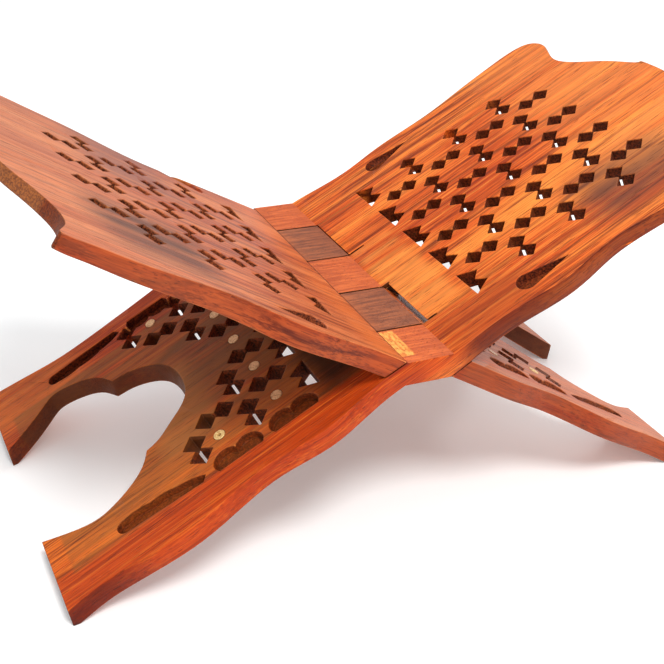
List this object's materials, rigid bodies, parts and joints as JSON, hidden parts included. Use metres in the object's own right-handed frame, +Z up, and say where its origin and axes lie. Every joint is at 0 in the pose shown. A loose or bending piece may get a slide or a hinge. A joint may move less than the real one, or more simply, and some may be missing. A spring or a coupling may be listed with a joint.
{
  "type": "quran stand",
  "caption": "Folding book stand: interlocked carved wooden boards open to an X on sawn knuckles, with fretwork wings, arched legs and brass inlay dots.",
  "frame": {"origin": "on the floor, under the middle of the open stand's bounding box", "axes": "+X to the right across the V (the right board's wing), +Y to the back along the hinge, +Z up; stored open on its stop"},
  "size_m": [0.3964, 0.2153, 0.2137],
  "materials": {
    "board_wood": "satin oiled sheesham (rosewood), orange to red-brown with darker grain",
    "inlay_brass": "worn, dull"
  },
  "bodies": {
    "left_board": {"left_board": "board_wood", "left_leg_brass_dots": "inlay_brass", "left_leg_brass_ring": "inlay_brass"},
    "right_board": {"right_board": "board_wood", "right_leg_brass_dots": "inlay_brass", "right_leg_brass_ring": "inlay_brass"}
  },
  "joints": [
    {"name": "fold_hinge", "type": "hinge", "parent": "left_board", "child": "right_board", "pos_m": [0, 0.00335, 0.10222], "axis": [0, -1, 0], "range_deg": [0, 120]}
  ]
}
